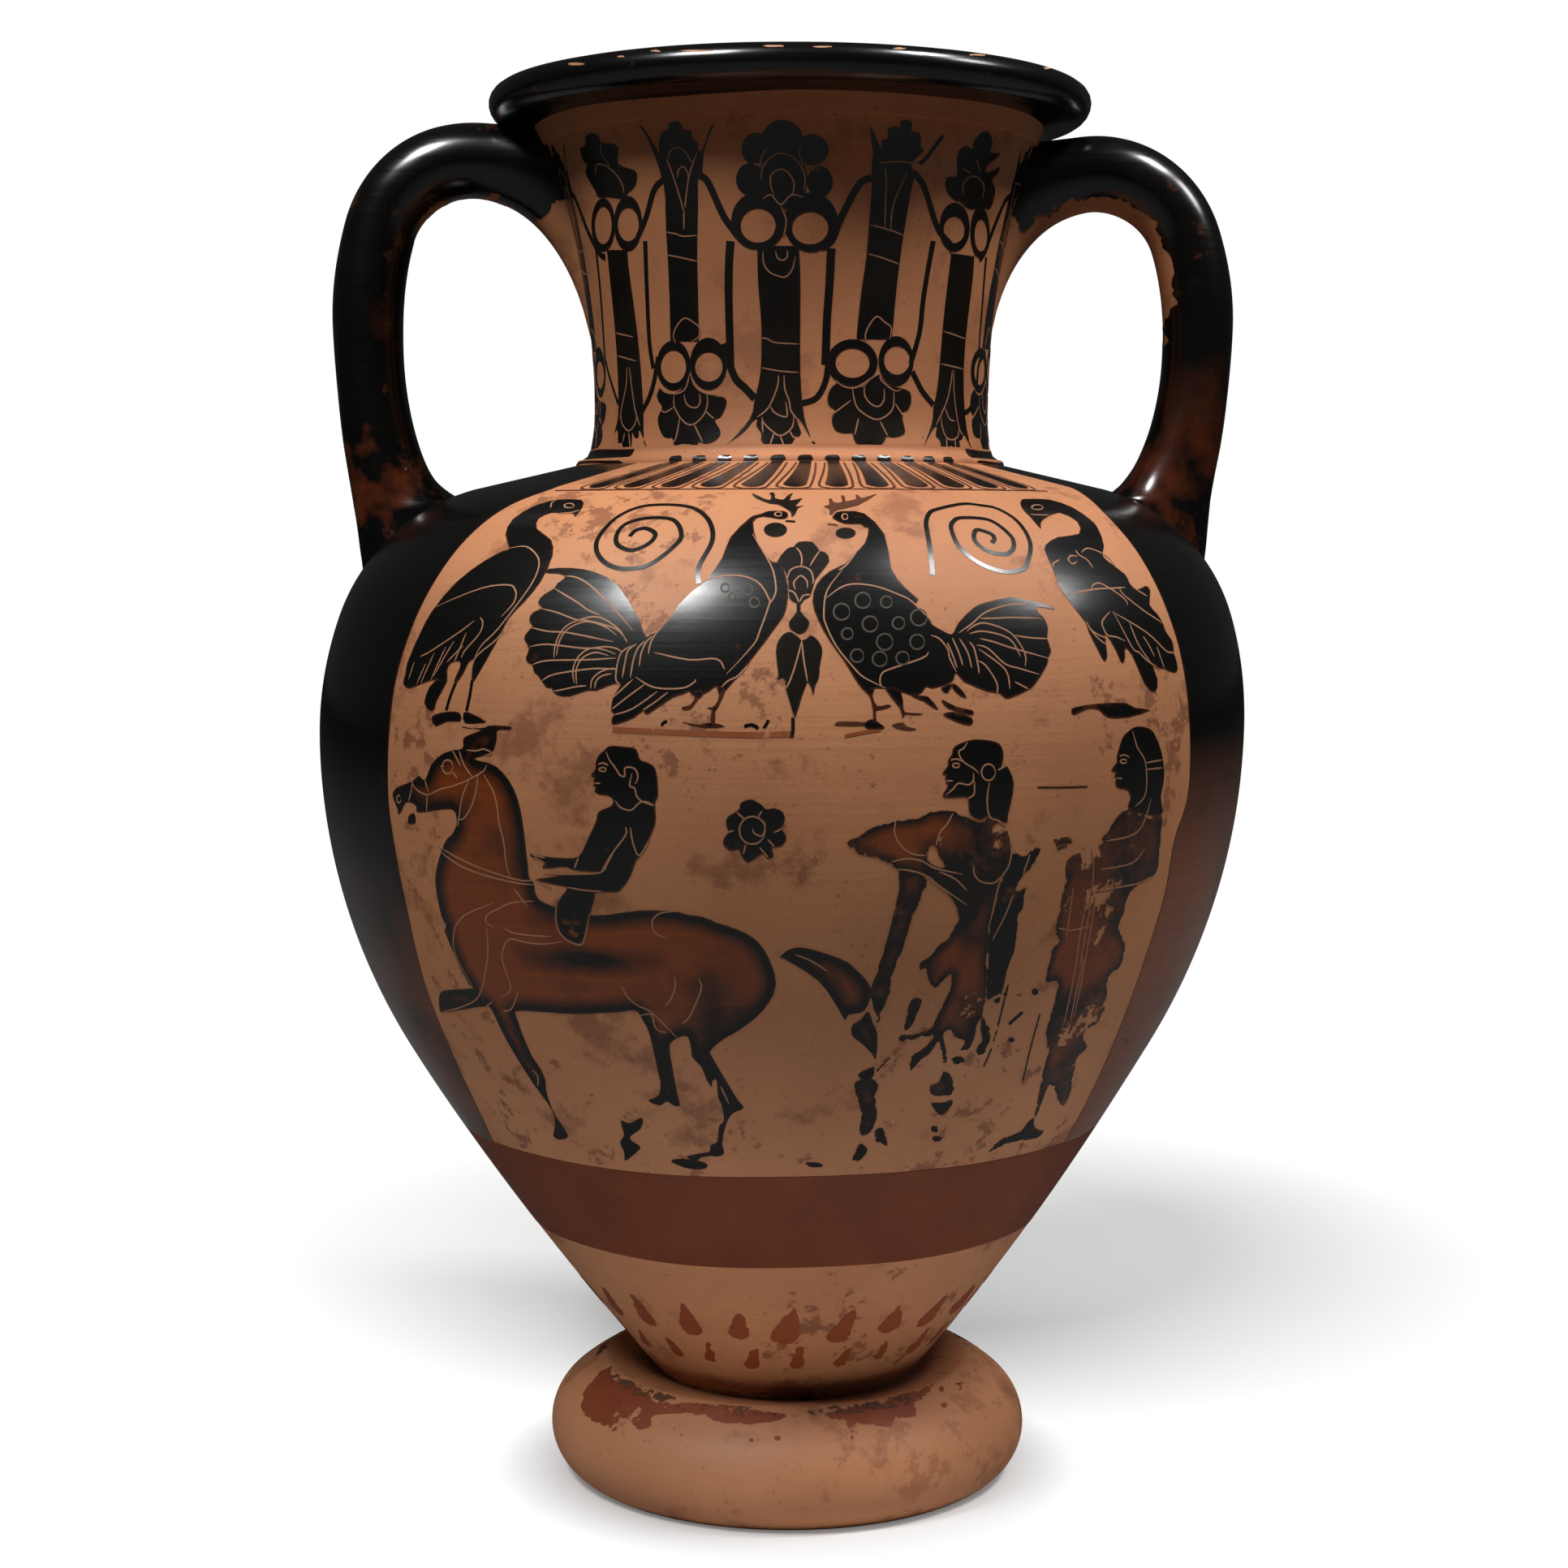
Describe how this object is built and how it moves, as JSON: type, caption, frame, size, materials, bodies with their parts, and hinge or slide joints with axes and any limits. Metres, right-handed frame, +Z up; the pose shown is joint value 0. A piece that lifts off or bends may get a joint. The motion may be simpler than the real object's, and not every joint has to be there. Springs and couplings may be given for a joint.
{
  "type": "terracotta amphora",
  "caption": "Free-standing wheel-thrown clay jar with a flaring neck and mouth, a wide ring foot and upright round handles, for storing and pouring liquids.",
  "frame": {"origin": "centre of the resting ring under the foot, on the surface that it stands on", "axes": "+Z up along the turning axis, +X towards the right-hand handle, -Y towards the viewer of the painted front"},
  "size_m": [0.279, 0.279, 0.42],
  "materials": {
    "clay_foot": "matte",
    "clay_body": "satin",
    "clay_neck": "satin",
    "gloss_black": "gloss"
  },
  "bodies": {
    "root": {"foot": "clay_foot", "body_lower": "clay_body", "body_upper": "clay_body", "neck": "clay_neck", "neck_ring": "clay_neck", "mouth": "gloss_black", "handle_left": "gloss_black", "handle_right": "gloss_black"}
  },
  "joints": []
}
